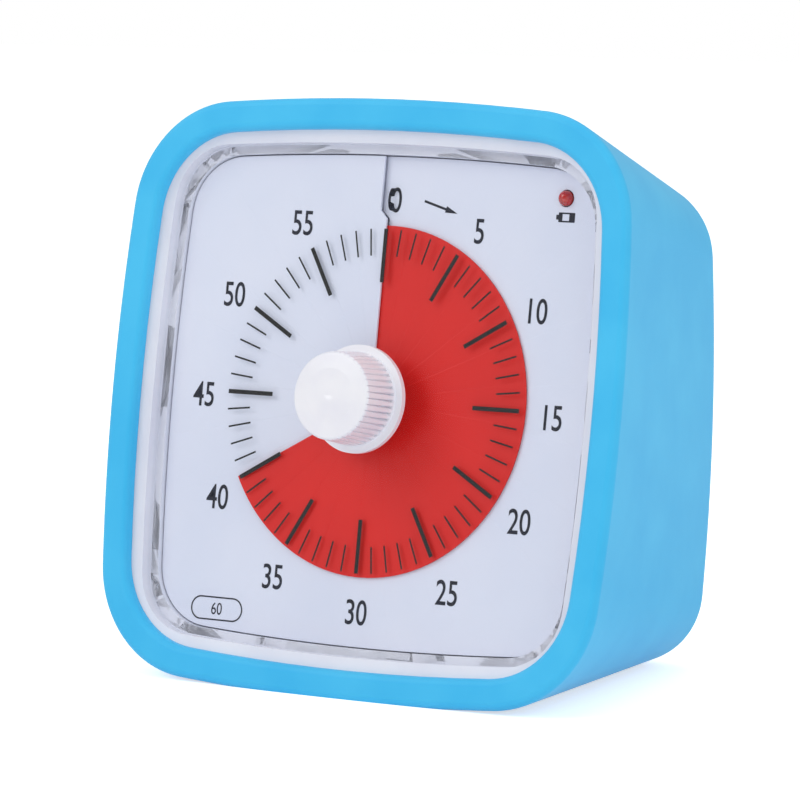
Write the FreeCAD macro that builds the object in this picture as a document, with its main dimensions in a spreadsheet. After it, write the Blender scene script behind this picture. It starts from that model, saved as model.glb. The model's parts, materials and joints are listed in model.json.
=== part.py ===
import FreeCAD, Part
import math
import os
import Sketcher

# Visual countdown timer: a leaning cube with a soft cover, a slit dial and a red disc that
# screws itself through the slit, driven by a one-cell quartz movement.
#
# Two working frames are used. The face frame has its origin at the middle of the cover's front
# lip, x to the right, y up the face and z out of the face, so depths behind the lip are negative z.
# The back frame has its origin in the middle of the outer back plane, x the same way, y up the
# back and z towards the front. Both are placed in the part's frame: +Z up, front towards -Y,
# origin under the middle of the object.

V = FreeCAD.Vector
doc = FreeCAD.newDocument("countdown_timer")

# Driving dimensions, in millimetres, degrees or plain counts
DIMENSIONS = [
    # stance
    ("faceLean", 9.6), ("faceHeight", 44.2), ("faceForward", -21.65),
    # outer form of the soft cover: front outline, back outline, depth
    ("frontHalf", 45.5), ("frontRise", 45.4), ("frontCorner", 17.6), ("frontBow", 362.0),
    ("backHalf", 34.4), ("backTop", 38.4), ("backBottom", 36.2), ("backCorner", 11.4),
    ("backBow", 385.0), ("caseDepth", 50.1), ("backTilt", 6.8),
    ("coverWall", 2.0), ("lipThickness", 1.7), ("backLip", 1.8), ("backOpeningInset", 5.6),
    ("frontEdge", 1.1), ("backEdge", 4.4), ("lipEdge", 1.1),
    ("lipHalf", 40.5), ("lipCorner", 13.7), ("lipBow", 355.0),
    # white case
    ("caseGap", 0.1), ("lipGap", 0.02), ("caseWall", 2.0), ("splitHeight", 8.0),
    ("ringHalf", 41.4), ("ringCorner", 14.0), ("stepHalf", 38.6), ("stepCorner", 9.6),
    ("stepDepth", 2.2), ("ledgeDepth", 4.35), ("windowHalf", 37.2), ("windowCorner", 9.5),
    ("windowBow", 420.0), ("floorDepth", 7.0), ("floorThickness", 1.6), ("hubHole", 5.0),
    # lens
    ("lensThickness", 1.0), ("lensGap", 0.15), ("lensHole", 4.6),
    # slit dial and red disc
    ("climb", 0.9), ("cardThickness", 0.35), ("discThickness", 0.25), ("flapDepth", 4.95),
    ("cardGap", 0.2), ("discRadius", 26.55), ("discLead", 1.0), ("discSweep", 364.0),
    ("setMinutes", 40.0), ("slitOffset", 0.5), ("slitBend", 27.6), ("slitJog", 1.2),
    ("slitLap", 6.0), ("seatBore", 28.2), ("seatGap", 0.03),
    # knob and spindle
    ("knobTop", 7.3), ("knobTopRadius", 6.6), ("knobSideRadius", 7.1), ("collarRadius", 8.15),
    ("collarTop", -0.2), ("collarThickness", 0.9), ("neckRadius", 4.2), ("neckEnd", 4.2),
    ("knobDome", 0.5), ("knobRibs", 44.0), ("ribRadius", 0.22), ("spindleRadius", 2.0),
    ("flatDepth", 0.5), ("runGap", 0.05), ("spindleTop", 3.0), ("spindleEnd", 18.4),
    ("flangeRadius", 4.2),
    # movement
    ("movementRadius", 30.4), ("movementWall", 1.2), ("plateThickness", 1.2), ("capDepth", 17.9),
    ("arborRadius", 0.5), ("pinionTeeth", 8.0), ("centreTeeth", 64.0), ("thirdTeeth", 60.0),
    ("fourthTeeth", 40.0), ("fifthTeeth", 48.0), ("centreModule", 0.45), ("thirdModule", 0.36),
    ("fourthModule", 0.30), ("fifthModule", 0.24), ("thirdAngle", -90.0), ("fourthAngle", 180.0),
    ("fifthAngle", 150.0), ("rotorAngle", 90.0), ("wheelThickness", 0.8), ("magnetRadius", 2.2),
    ("statorHole", 2.6), ("pillarRadius", 1.7), ("pillarCircle", 26.8), ("coilRadius", 2.6),
    ("coilLength", 12.0), ("coilRise", 11.3), ("coilDepth", 14.8),
    # back: battery well, door, switch, sounder, board
    ("panelInset", 5.9), ("panelProud", 0.2), ("wellHalf", 28.3), ("wellRise", 7.8),
    ("wellCentre", -11.2), ("wellDeep", 15.0), ("wellWall", 1.4), ("mouthHalf", 25.9),
    ("doorHalf", 26.5), ("doorRise", 8.9), ("doorThickness", 1.6), ("doorGap", 0.25),
    ("pinRadius", 0.6), ("cellRadius", 7.15), ("cellLength", 50.0), ("boardLevel", 7.7),
    ("boardThickness", 1.2), ("switchX", -14.0), ("switchY", 15.0), ("slotHalf", 4.3),
    ("slotRise", 1.5), ("thumbHalf", 2.0), ("sounderX", 12.5), ("sounderY", 14.0),
    ("sounderRadius", 10.0), ("screwX", 24.8), ("screwTop", 28.4), ("screwBottom", -26.4),
    ("screwRadius", 1.25), ("headRadius", 2.4), ("headSeat", 4.6), ("bossLength", 14.0),
    ("backPlate", 3.8), ("latchHalf", 4.5),
    # indicator lamp
    ("lampX", 30.1), ("lampY", 31.8), ("lampRadius", 1.15),
]

sheet = doc.addObject("Spreadsheet::Sheet", "dims")
for row, (alias, value) in enumerate(DIMENSIONS, start=1):
    sheet.set("A%d" % row, alias)
    sheet.set("B%d" % row, str(value))
    sheet.setAlias("B%d" % row, alias)
doc.recompute()


def mm(alias):
    """The number in a cell of the sheet."""
    return float(sheet.get(alias))


def rot_x(angle):
    return FreeCAD.Rotation(V(1, 0, 0), angle)


# The face frame leans back, and the back frame is tilted to the face by backTilt
FACE = FreeCAD.Placement(V(0, mm("faceForward"), mm("faceHeight")), rot_x(90 - mm("faceLean")))
TILT = FreeCAD.Placement(V(0, 0, -mm("caseDepth")), rot_x(mm("backTilt")))
BACK = FACE.multiply(TILT)


# Helpers for bodies, sketches and features

def new_body(label, frame):
    body = doc.addObject("PartDesign::Body", label)
    body.Label = label
    body.Placement = frame
    return body


def origin_plane(body, role):
    return [part for part in body.Origin.OriginFeatures if part.Role == role][0]


def new_sketch(body, role="XY_Plane", level="0", tilt=None):
    """A sketch on one of the body's own planes, raised by the expression level and tilted about x."""
    sketch = body.newObject("Sketcher::SketchObject", body.Label + "_sketch")
    sketch.AttachmentSupport = (origin_plane(body, role), [""])
    sketch.MapMode = "FlatFace"
    if tilt is not None:
        sketch.AttachmentOffset = FreeCAD.Placement(V(0, 0, 0), rot_x(1))
        sketch.setExpression("AttachmentOffset.Rotation.Angle", tilt)
    sketch.setExpression("AttachmentOffset.Base.z", level)
    return sketch


def new_back_sketch(body, height):
    """In a body of the face frame, a sketch parallel to the back plane at a height above it."""
    sketch = new_sketch(body, "XY_Plane", "0", "dims.backTilt")
    turn = "dims.backTilt * 1 deg"
    sketch.setExpression("AttachmentOffset.Base.y", "-(%s) * sin(%s)" % (height, turn))
    sketch.setExpression("AttachmentOffset.Base.z", "-dims.caseDepth + (%s) * cos(%s)" % (height, turn))
    return sketch


def bind(sketch, kind, *places_and_expression):
    """Adds a driving constraint whose value follows an expression."""
    *places, expression = places_and_expression
    index = sketch.addConstraint(Sketcher.Constraint(kind, *places, 1.0))
    sketch.setExpression("Constraints[%d]" % index, str(expression))


def pin_point(sketch, geometry, point, x, y):
    bind(sketch, "DistanceX", -1, 1, geometry, point, x)
    bind(sketch, "DistanceY", -1, 1, geometry, point, y)


def add_circle(sketch, x, y, radius):
    circle = sketch.addGeometry(Part.Circle(V(0, 0, 0), V(0, 0, 1), 1))
    bind(sketch, "Radius", circle, radius)
    pin_point(sketch, circle, 3, x, y)


def add_polygon(sketch, corners):
    """A closed outline of straight edges whose corners follow pairs of expressions."""
    count = len(corners)
    turn = [2 * math.pi * i / count for i in range(count)]
    start = [V(math.cos(t), math.sin(t), 0) for t in turn]
    lines = [sketch.addGeometry(Part.LineSegment(start[i], start[(i + 1) % count])) for i in range(count)]
    for i in range(count):
        sketch.addConstraint(Sketcher.Constraint("Coincident", lines[i], 2, lines[(i + 1) % count], 1))
    for line, (x, y) in zip(lines, corners):
        pin_point(sketch, line, 1, x, y)


def add_rectangle(sketch, x0, x1, y0, y1):
    add_polygon(sketch, [(x0, y0), (x1, y0), (x1, y1), (x0, y1)])


def bowed_arcs(half, rise, corner, bow, middle):
    """The eight arcs of a rounded square with bowed sides: centre, radius, start and end angle."""
    right = V(half - bow, 0, 0)
    top = V(0, rise - bow, 0)
    gap = top - right
    normal = V(gap.y, -gap.x, 0).normalize()
    if normal.x < 0:
        normal = normal * -1
    hub = (top + right) * 0.5 + normal * math.sqrt((bow - corner) ** 2 - gap.Length ** 2 / 4)
    low = math.atan2(hub.y, hub.x - right.x)
    high = math.atan2(hub.y - top.y, hub.x)
    turn = math.pi
    arcs = [
        (right, bow, -low, low), (V(hub.x, hub.y, 0), corner, low, high),
        (top, bow, high, turn - high), (V(-hub.x, hub.y, 0), corner, turn - high, turn - low),
        (right * -1, bow, turn - low, turn + low), (V(-hub.x, -hub.y, 0), corner, turn + low, turn + high),
        (top * -1, bow, turn + high, 2 * turn - high),
        (V(hub.x, -hub.y, 0), corner, 2 * turn - high, 2 * turn - low)]
    return [(centre + V(0, middle, 0), radius, first, last) for centre, radius, first, last in arcs]


def add_bowed_square(sketch, half, rise, corner, bow, middle="0"):
    """A rounded square with bowed sides, held by its half width, half height and two radii."""
    values = [measure(expression) for expression in (half, rise, corner, bow, middle)]
    arcs = []
    for centre, radius, first, last in bowed_arcs(*values):
        arcs.append(sketch.addGeometry(Part.ArcOfCircle(Part.Circle(centre, V(0, 0, 1), radius), first, last)))
    for i in range(8):
        sketch.addConstraint(Sketcher.Constraint("Tangent", arcs[i], 2, arcs[(i + 1) % 8], 1))
    for i in range(0, 8, 2):
        bind_near(sketch, "Radius", arcs[i], values[3], bow)
        bind_near(sketch, "Radius", arcs[i + 1], values[2], corner)
    sides = [
        (0, "(%s) - (%s)" % (half, bow), middle), (4, "(%s) - (%s)" % (bow, half), middle),
        (2, "0", "(%s) + (%s) - (%s)" % (middle, rise, bow)),
        (6, "0", "(%s) - (%s) + (%s)" % (middle, rise, bow))]
    for side, x, y in sides:
        centre = sketch.Geometry[arcs[side]].Center
        bind_near(sketch, "DistanceX", -1, 1, arcs[side], 3, centre.x, x)
        bind_near(sketch, "DistanceY", -1, 1, arcs[side], 3, centre.y, y)


def bind_near(sketch, kind, *places_value_expression):
    """Like bind, but starts from a value already close to the expression's."""
    *places, value, expression = places_value_expression
    index = sketch.addConstraint(Sketcher.Constraint(kind, *places, value))
    sketch.setExpression("Constraints[%d]" % index, expression)


def measure(expression):
    """The number that an expression gives, read back through a scratch cell of the sheet."""
    sheet.set("D1", "=" + str(expression).replace("dims.", ""))
    sheet.recompute()
    return float(sheet.get("D1"))


def add_feature(body, kind, sketch, length=None, flip=False):
    feature = body.newObject("PartDesign::" + kind, body.Label + "_" + kind.lower())
    feature.Profile = sketch
    if length is None:
        feature.Type = 1
        feature.Midplane = True
    else:
        feature.setExpression("Length", length)
        feature.Reversed = flip
    return feature


def pad(body, sketch, length, flip=False):
    return add_feature(body, "Pad", sketch, length, flip)


def pocket(body, sketch, length=None, flip=False):
    """A cut from the sketch into the solid below it, or through everything where no length is given."""
    return add_feature(body, "Pocket", sketch, length, flip)


def revolve(body, sketch, kind="Revolution"):
    feature = body.newObject("PartDesign::" + kind, body.Label + "_turned")
    feature.Profile = sketch
    feature.ReferenceAxis = (sketch, ["V_Axis"])
    feature.Angle = 360
    return feature


def loft(body, sketches, kind="AdditiveLoft"):
    feature = body.newObject("PartDesign::" + kind, body.Label + "_loft")
    feature.Profile = sketches[0]
    feature.Sections = sketches[1:]
    return feature


def round_edges(body, wanted, radius, kind="Fillet"):
    """Rounds or bevels the edges of the body's tip whose middle point passes the test."""
    doc.recompute()
    tip = body.Tip
    names = []
    for number, edge in enumerate(tip.Shape.Edges, start=1):
        if edge.Length > 1e-6 and wanted(edge):
            names.append("Edge%d" % number)
    feature = body.newObject("PartDesign::" + kind, body.Label + "_" + kind.lower())
    feature.Base = (tip, names)
    feature.setExpression("Radius" if kind == "Fillet" else "Size", radius)
    return feature


def middle_of(edge):
    return edge.valueAt((edge.FirstParameter + edge.LastParameter) / 2)


def turned(label, frame, profile):
    """A body turned about its z axis from a profile of (radius, height) expressions."""
    body = new_body(label, frame)
    sketch = new_sketch(body, "XZ_Plane")
    add_polygon(sketch, profile)
    revolve(body, sketch)
    return body


def bring_in(label, shape, frame):
    """A sub-part whose shape is worked out with Part's own functions."""
    feature = doc.addObject("Part::Feature", label)
    feature.Label = label
    feature.Shape = shape
    feature.Placement = frame.multiply(shape.Placement)
    return feature


# Outer form: every shell is a slice of one tapering form, a share of the way from front to back

FRONT_SHARE = mm("lipThickness") / mm("caseDepth")


def form_section(body, share, inset, level=None, tilt=None):
    """A sketch of the outer form at a share of the depth, drawn in by inset all round."""
    if level is None:
        level = "-dims.caseDepth * %.5f" % share
        tilt = "dims.backTilt * %.5f" % share
    sketch = new_sketch(body, "XY_Plane", level, tilt)
    half = "dims.frontHalf + (dims.backHalf - dims.frontHalf) * %.5f - (%s)" % (share, inset)
    rise = ("dims.frontRise + ((dims.backTop + dims.backBottom) / 2 - dims.frontRise) * %.5f - (%s)"
            % (share, inset))
    corner = "dims.frontCorner + (dims.backCorner - dims.frontCorner) * %.5f - (%s)" % (share, inset)
    bow = "dims.frontBow + (dims.backBow - dims.frontBow) * %.5f" % share
    middle = "(dims.backTop - dims.backBottom) / 2 * %.5f" % share
    add_bowed_square(sketch, half, rise, corner, bow, middle)
    return sketch


def back_outline(sketch, height, inset):
    """The outer form's outline at a height above the back plane, drawn in by inset, in a sketch there."""
    share = "(%s) / dims.caseDepth" % height
    half = "dims.backHalf + (dims.frontHalf - dims.backHalf) * %s - (%s)" % (share, inset)
    mean = "(dims.backTop + dims.backBottom) / 2"
    rise = "%s + (dims.frontRise - %s) * %s - (%s)" % (mean, mean, share, inset)
    corner = "dims.backCorner + (dims.frontCorner - dims.backCorner) * %s - (%s)" % (share, inset)
    middle = "(dims.backTop - dims.backBottom) / 2 * (1 - %s) + (%s) * tan(dims.backTilt * 1 deg)" % (share, height)
    add_bowed_square(sketch, half, rise, corner, "dims.backBow", middle)
    return sketch


def make_silicone_cover():
    """The soft cover: outer form less the case's form, open at the front lip and at the back."""
    body = new_body("silicone_cover", FACE)
    loft(body, [form_section(body, share, "0") for share in (0, 1)])
    round_edges(body, lambda edge: middle_of(edge).z < -42 and edge_lies_on_back(edge, 0), "dims.backEdge")
    round_edges(body, lambda edge: abs(middle_of(edge).z) < 1e-3, "dims.frontEdge")
    case = [form_section(body, FRONT_SHARE, "dims.coverWall", "-dims.lipThickness")]
    case.append(back_outline(new_back_sketch(body, "dims.backLip"), "dims.backLip", "dims.coverWall"))
    loft(body, case, "SubtractiveLoft")
    front = new_sketch(body, "XY_Plane", "0")
    add_bowed_square(front, "dims.lipHalf", "dims.lipHalf", "dims.lipCorner", "dims.lipBow")
    pocket(body, front, "dims.lipThickness + 1")
    round_edges(body, lambda edge: abs(middle_of(edge).z) < 1e-3 and inside_lip(edge), "dims.lipEdge")
    pocket(body, form_section(body, 1, "dims.backOpeningInset"), "dims.backLip + 2", flip=True)
    floor = new_sketch(body, "YZ_Plane")
    lean = "dims.faceLean * 1 deg"
    front_y = "-(dims.faceHeight + 10 * sin(%s)) / cos(%s)" % (lean, lean)
    back_y = "-(dims.faceHeight - 70 * sin(%s)) / cos(%s)" % (lean, lean)
    add_polygon(floor, [("-60", "10"), (front_y, "10"), (back_y, "-70"), ("-60", "-70")])
    pocket(body, floor)
    return body


def edge_lies_on_back(edge, height):
    """True where both ends of an edge are in the plane this height above the back plane."""
    slope = math.tan(math.radians(mm("backTilt")))
    return all(abs(v.Z + mm("caseDepth") - slope * v.Y - height) < 0.05 for v in edge.Vertexes)


def inside_lip(edge):
    at = middle_of(edge)
    return max(abs(at.x), abs(at.y)) < mm("lipHalf") + 0.1


def make_front_housing():
    """The white front shell: walls, a stepped bezel round the dial well, and four screw bosses."""
    body = new_body("front_housing", FACE)
    inset = "dims.coverWall + dims.caseGap"
    wall = inset + " + dims.caseWall"
    outside = [form_section(body, FRONT_SHARE, inset, "-dims.lipThickness - dims.lipGap")]
    loft(body, outside + [back_outline(new_back_sketch(body, "dims.splitHeight"), "dims.splitHeight", inset)])
    floor = form_section(body, 0.172, wall, "-dims.floorDepth - dims.floorThickness")
    loft(body, [floor, back_outline(new_back_sketch(body, "dims.splitHeight"), "dims.splitHeight", wall)],
         "SubtractiveLoft")
    ring = new_sketch(body, "XY_Plane", "-dims.lipThickness")
    add_bowed_square(ring, "dims.ringHalf - 0.6", "dims.ringHalf - 0.6", "dims.ringCorner", "dims.lipBow")
    step = new_sketch(body, "XY_Plane", "-dims.stepDepth")
    add_bowed_square(step, "dims.stepHalf", "dims.stepHalf", "dims.stepCorner", "dims.windowBow")
    loft(body, [ring, step], "SubtractiveLoft")
    recess = new_sketch(body, "XY_Plane", "-dims.stepDepth")
    add_bowed_square(recess, "dims.stepHalf", "dims.stepHalf", "dims.stepCorner", "dims.windowBow")
    pocket(body, recess, "dims.ledgeDepth - dims.stepDepth")
    window = new_sketch(body, "XY_Plane", "-dims.ledgeDepth")
    add_bowed_square(window, "dims.windowHalf", "dims.windowHalf", "dims.windowCorner", "dims.windowBow")
    pocket(body, window, "dims.floorDepth - dims.ledgeDepth")
    holes = new_sketch(body, "XY_Plane", "-dims.floorDepth")
    add_circle(holes, 0, 0, "dims.hubHole")
    add_circle(holes, "dims.lampX", "dims.lampY", "dims.lampRadius + 0.5")
    pocket(body, holes, "dims.floorThickness + 2")
    for rise, reach in (("dims.screwTop", 7), ("dims.screwBottom", -6.5)):
        for side in ("-1", "1"):
            x = "%s * dims.screwX" % side
            web = new_back_sketch(body, "dims.splitHeight")
            add_rectangle(web, x + " - 1.2", x + " + 1.2", rise, "%s + %s" % (rise, reach))
            pad(body, web, "dims.bossLength - 2")
            boss = new_back_sketch(body, "dims.splitHeight")
            add_circle(boss, x, rise, "dims.screwRadius + 1.9")
            pad(body, boss, "dims.bossLength")
            pilot = new_back_sketch(body, "dims.splitHeight")
            add_circle(pilot, x, rise, "dims.screwRadius")
            pocket(body, pilot, "dims.bossLength - 2", flip=True)
    return body


# Slit dial: the card and the disc are thin one-turn ramps of the same climb, high on the left of the slit

RAMP_STEP = 15


def ramp_height(angle):
    """Height of the card's top at a clockwise angle from the slit, in degrees."""
    return -mm("flapDepth") - mm("climb") + mm("climb") * angle / 360


def facet(*corners):
    return Part.Face(Part.makePolygon(list(corners) + [corners[0]]))


def ramp(inner, outer, first, last, drop, thickness, floor=None):
    """A ramp between two clockwise angles, its top a drop below the card's top, solid down to a floor if given."""
    steps = max(1, math.ceil((last - first) / RAMP_STEP))
    rings = []
    for i in range(steps + 1):
        angle = first + (last - first) * i / steps
        top = ramp_height(angle) - drop
        low = floor if floor is not None else top - thickness
        out = V(math.sin(math.radians(angle)), math.cos(math.radians(angle)), 0)
        rings.append([out * inner + V(0, 0, low), out * outer + V(0, 0, low),
                      out * outer + V(0, 0, top), out * inner + V(0, 0, top)])
    faces = [facet(*rings[0]), facet(*rings[-1])]
    for near, far in zip(rings[:-1], rings[1:]):
        faces += [facet(near[0], near[1], far[1]), facet(near[0], far[1], far[0])]
        faces += [facet(near[3], near[2], far[2]), facet(near[3], far[2], far[3])]
        faces += [facet(near[1], far[1], far[2], near[2]), facet(near[0], far[0], far[3], near[3])]
    shell = Part.makeShell(faces)
    shell.sewShape()
    solid = Part.makeSolid(shell)
    if solid.Volume < 0:
        solid.reverse()
    return solid


def bowed_prism(half, corner, bow, low, high):
    """A rounded square with bowed sides, pushed up from one height to another."""
    edges = []
    for centre, radius, first, last in bowed_arcs(half, half, corner, bow, 0):
        edges.append(Part.makeCircle(radius, centre + V(0, 0, low), V(0, 0, 1), math.degrees(first), math.degrees(last)))
    return Part.Face(Part.Wire(edges)).extrude(V(0, 0, high - low))


def cylinder(x, y, radius, low, high):
    return Part.makeCylinder(radius, high - low, V(x, y, low))


def slit_side(reach, low, high):
    """The region on one side of the slit near the top of the card, as a prism."""
    x = -mm("slitOffset")
    jog = x - mm("slitJog")
    path = [V(x, 0, low), V(x, mm("slitBend"), low), V(jog, mm("slitBend") + mm("slitJog"), low), V(jog, 60, low)]
    far = [V(reach, 60, low), V(reach, 0, low)]
    return Part.Face(Part.makePolygon(path + far + path[:1])).extrude(V(0, 0, high - low))


def slit_level():
    """The height halfway between the card's lower side and its raised flap at the slit."""
    return -mm("flapDepth") - (mm("climb") + mm("cardThickness")) / 2


def make_dial_card():
    card = ramp(1.0, 56.0, -mm("slitLap"), 360 + 2, 0, mm("cardThickness"))
    card = card.common(bowed_prism(mm("windowHalf") - mm("cardGap"), mm("windowCorner") - mm("cardGap"),
                                   mm("windowBow"), -10, 0))
    card = card.cut(cylinder(0, 0, mm("hubHole"), -10, 0))
    card = card.cut(cylinder(mm("lampX"), mm("lampY"), mm("lampRadius") + 0.15, -10, 0))
    level = slit_level()
    card = card.cut(slit_side(9, level, 0))
    card = card.cut(slit_side(-12, -10, level))
    return bring_in("dial_card", card, FACE)


def make_dial_seat():
    """The spacer that carries the card's border and corners, its top a ramp that fits under the card."""
    low = -mm("floorDepth")
    drop = mm("cardThickness") + mm("seatGap")
    seat = ramp(1.0, 56.0, 0, 180, drop, 0, low).fuse(ramp(1.0, 56.0, 180, 360, drop, 0, low))
    seat = seat.common(bowed_prism(mm("windowHalf") - mm("cardGap"), mm("windowCorner") - mm("cardGap"),
                                   mm("windowBow"), low, 0))
    seat = seat.cut(cylinder(0, 0, mm("seatBore"), -10, 0))
    seat = seat.cut(cylinder(mm("lampX"), mm("lampY"), mm("lampRadius") + 0.6, -10, 0))
    shelf = Part.makeBox(mm("slitJog") + mm("slitOffset") + 1, 40, 10, V(-mm("slitJog") - mm("slitOffset") - 1, 0, 0))
    shelf.translate(V(0, 0, ramp_height(0) - drop))
    return bring_in("dial_seat", seat.cut(shelf), FACE)


def shaft_section(radius, flat, low, high):
    """A round bar with one flat, the form of the spindle and, a little larger, of the holes on it."""
    bar = cylinder(0, 0, radius, low, high)
    return bar.cut(Part.makeBox(4 * radius, 2 * radius, high - low, V(-2 * radius, flat, low)))


def make_red_disc():
    """The red disc, cut along a radius and set at the resting time."""
    lead = mm("setMinutes") * 6 + mm("discLead")
    gap = (mm("climb") - mm("cardThickness") - mm("discThickness")) / 2
    disc = ramp(1.0, 29.0, lead - mm("discSweep"), lead, -gap - mm("discThickness"), mm("discThickness"))
    disc = disc.common(cylinder(0, 0, mm("discRadius"), -12, 0))
    bore = mm("spindleRadius") + mm("runGap")
    disc = disc.cut(shaft_section(bore, bore - mm("flatDepth"), -12, 0))
    return bring_in("red_disc", disc, FACE)


def make_lens():
    """The clear front window on the ledge, with a hole for the knob's neck."""
    body = new_body("lens", FACE)
    sketch = new_sketch(body, "XY_Plane", "-dims.ledgeDepth")
    half = "dims.stepHalf - dims.lensGap"
    add_bowed_square(sketch, half, half, "dims.stepCorner - dims.lensGap", "dims.windowBow")
    add_circle(sketch, 0, 0, "dims.lensHole")
    pad(body, sketch, "dims.lensThickness")
    return body


def make_knob():
    """The turning knob: ribbed grip on a collar, with a neck that passes through the lens."""
    top = "dims.knobTop"
    profile = [
        ("0", "-dims.neckEnd"), ("dims.neckRadius", "-dims.neckEnd"),
        ("dims.neckRadius", "dims.collarTop - dims.collarThickness"),
        ("dims.collarRadius", "dims.collarTop - dims.collarThickness"),
        ("dims.collarRadius", "dims.collarTop"), ("dims.knobSideRadius", "dims.collarTop + 0.1"),
        ("dims.knobTopRadius", top + " - dims.knobDome"), ("dims.knobTopRadius * 0.62", top + " - 0.12"),
        ("0", top)]
    body = turned("knob", FACE, profile)
    dome = mm("knobTop") - mm("knobDome")
    round_edges(body, lambda edge: abs(middle_of(edge).z - dome) < 1e-3, "dims.knobDome + 0.1")
    bore = new_sketch(body, "XY_Plane", "-dims.neckEnd")
    radius = "(dims.spindleRadius + 0.02)"
    flat = "(dims.spindleRadius - dims.flatDepth + 0.02)"
    add_flatted(bore, radius, flat)
    pocket(body, bore, "dims.neckEnd + dims.spindleTop + 0.2", flip=True)
    groove = new_sketch(body, "XY_Plane", "dims.knobTop")
    wide = "dims.ribRadius + 0.12"
    add_polygon(groove, [("dims.knobTopRadius - dims.ribRadius", "0"), ("dims.knobSideRadius + 1", "-2 * (%s)" % wide),
                         ("dims.knobSideRadius + 1", "2 * (%s)" % wide)])
    cut = pocket(body, groove, "dims.knobTop - dims.collarTop - 0.6")
    doc.recompute()
    ribs = body.newObject("PartDesign::PolarPattern", "knob_ribs")
    ribs.Originals = [cut]
    ribs.Axis = (groove, ["N_Axis"])
    ribs.Angle = 360
    ribs.setExpression("Occurrences", "dims.knobRibs")
    body.Tip = ribs
    return body


def add_flatted(sketch, radius, flat):
    """A circle with a straight flat across its top, as an arc and a chord."""
    low = math.asin(measure(flat) / measure(radius))
    circle = Part.Circle(V(0, 0, 0), V(0, 0, 1), measure(radius))
    arc = sketch.addGeometry(Part.ArcOfCircle(circle, math.pi - low, 2 * math.pi + low))
    ends = [sketch.Geometry[arc].EndPoint, sketch.Geometry[arc].StartPoint]
    chord = sketch.addGeometry(Part.LineSegment(*ends))
    sketch.addConstraint(Sketcher.Constraint("Coincident", arc, 2, chord, 1))
    sketch.addConstraint(Sketcher.Constraint("Coincident", chord, 2, arc, 1))
    sketch.addConstraint(Sketcher.Constraint("Horizontal", chord))
    bind_near(sketch, "Radius", arc, measure(radius), radius)
    pin_point(sketch, arc, 3, "0", "0")
    bind(sketch, "DistanceY", -1, 1, chord, 1, flat)


def make_spindle():
    """The flatted shaft with its clutch flange and back pivot."""
    body = new_body("spindle", FACE)
    shaft = new_sketch(body, "XY_Plane", "dims.spindleTop")
    add_flatted(shaft, "dims.spindleRadius", "dims.spindleRadius - dims.flatDepth")
    pad(body, shaft, "dims.spindleTop + 9.6", flip=True)
    lower = new_sketch(body, "XY_Plane", "-9.6")
    add_circle(lower, 0, 0, "dims.spindleRadius")
    pad(body, lower, "6.2", flip=True)
    flange = new_sketch(body, "XY_Plane", "-11.7")
    add_circle(flange, 0, 0, "dims.flangeRadius")
    pad(body, flange, "0.5", flip=True)
    pivot = new_sketch(body, "XY_Plane", "-15.8")
    add_circle(pivot, 0, 0, "1.0")
    pad(body, pivot, "dims.spindleEnd - 15.8", flip=True)
    return body


def make_clutch_spring():
    """The slip clutch: a dished three-legged washer between the wheel and the flange."""
    washer = cylinder(0, 0, 3.9, -11.68, -11.38).cut(cylinder(0, 0, mm("spindleRadius") + 0.02, -12, -11))
    for turn in range(3):
        slot = Part.makeBox(1.4, 2.2, 1, V(-0.7, 2.4, -12))
        slot.rotate(V(0, 0, 0), V(0, 0, 1), 120 * turn)
        washer = washer.cut(slot)
    return bring_in("clutch_spring", washer, FACE)


def make_zero_cam():
    """The cam that closes the alarm contact when the time runs out."""
    bore = mm("spindleRadius") + 0.02
    cam = cylinder(0, 0, 4.4, -13.4, -12.25).cut(cylinder(0, 0, bore, -14, -12))
    notch = Part.makeBox(1.6, 2, 2, V(-0.8, 3.6, -14))
    notch.rotate(V(0, 0, 0), V(0, 0, 1), -60 - mm("setMinutes") * 6)
    return bring_in("zero_cam", cam.cut(notch), FACE)


# Movement: five wheels step the stepping rotor down by 1800 to one turn an hour

def polar_step(start, module, teeth, angle):
    """The next pivot: a distance of half the summed teeth times the module, at an angle cell."""
    reach = mm(module) * teeth / 2
    turn = math.radians(mm(angle))
    return (start[0] + reach * math.cos(turn), start[1] + reach * math.sin(turn))


PINION = int(mm("pinionTeeth"))
CENTRE_PIVOT = (0.0, 0.0)
THIRD_PIVOT = polar_step(CENTRE_PIVOT, "centreModule", mm("centreTeeth") + PINION, "thirdAngle")
FOURTH_PIVOT = polar_step(THIRD_PIVOT, "thirdModule", mm("thirdTeeth") + PINION, "fourthAngle")
FIFTH_PIVOT = polar_step(FOURTH_PIVOT, "fourthModule", mm("fourthTeeth") + PINION, "fifthAngle")
ROTOR_PIVOT = polar_step(FIFTH_PIVOT, "fifthModule", mm("fifthTeeth") + PINION, "rotorAngle")
BASE_LOW = -mm("floorDepth") - mm("floorThickness") - mm("plateThickness")


def toothed(pivot, module, teeth, phase, low, high, bore=None, share=0.40):
    """A toothed wheel or pinion: trapezoid teeth from a root circle to a tip circle, one on the phase angle."""
    root = module * teeth / 2 - 1.15 * module
    tip = module * teeth / 2 + 0.85 * module
    pitch = 2 * math.pi / teeth
    points = []
    for tooth in range(teeth):
        middle = math.radians(phase) + tooth * pitch
        for radius, offset in ((root, -0.30), (tip, -share / 4), (tip, share / 4), (root, 0.30)):
            turn = middle + offset * pitch
            points.append(V(pivot[0] + radius * math.cos(turn), pivot[1] + radius * math.sin(turn), low))
    wheel = Part.Face(Part.makePolygon(points + points[:1])).extrude(V(0, 0, high - low))
    if bore:
        wheel = wheel.cut(cylinder(pivot[0], pivot[1], bore, low - 1, high + 1))
    return wheel


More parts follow.
